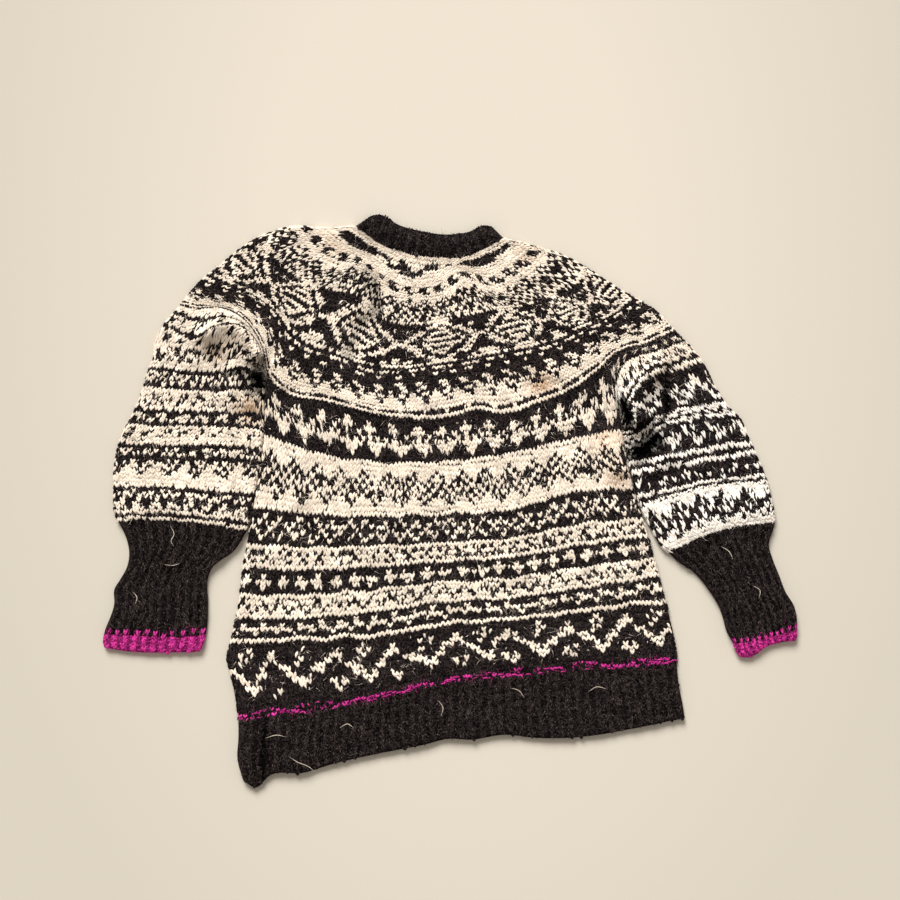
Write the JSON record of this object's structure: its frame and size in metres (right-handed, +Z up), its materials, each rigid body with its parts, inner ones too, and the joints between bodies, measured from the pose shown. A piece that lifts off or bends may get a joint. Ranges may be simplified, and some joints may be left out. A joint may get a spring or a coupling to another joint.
{
  "type": "nordic yoke sweater",
  "caption": "Hand-knitted wool sweater with a round patterned yoke, ribbed cuffs, hem and neckband, laid flat with its front up.",
  "frame": {"origin": "on the surface that the sweater lies on, under the middle of its bounding box", "axes": "+Z up from the surface, +Y towards the neck, +X to the right of someone who looks down at the front"},
  "size_m": [0.8325, 0.6863, 0.0269],
  "materials": {
    "cream_wool": "fuzzy",
    "charcoal_wool": "fuzzy",
    "magenta_wool": "fuzzy"
  },
  "bodies": {
    "root": {"body_back": "cream_wool", "body_front": "cream_wool", "cuff_left_back": "charcoal_wool", "cuff_left_edge_back": "magenta_wool", "cuff_left_edge_front": "magenta_wool", "cuff_left_front": "charcoal_wool", "cuff_right_back": "charcoal_wool", "cuff_right_edge_back": "magenta_wool", "cuff_right_edge_front": "magenta_wool", "cuff_right_front": "charcoal_wool", "hem_rib_back": "charcoal_wool", "hem_rib_front": "charcoal_wool", "hem_stripe_back": "magenta_wool", "hem_stripe_front": "magenta_wool", "neckband_back": "charcoal_wool", "neckband_front": "charcoal_wool", "sleeve_left_back": "cream_wool", "sleeve_left_front": "cream_wool", "sleeve_right_back": "cream_wool", "sleeve_right_front": "cream_wool", "yoke_back": "cream_wool", "yoke_front": "cream_wool"}
  },
  "joints": []
}
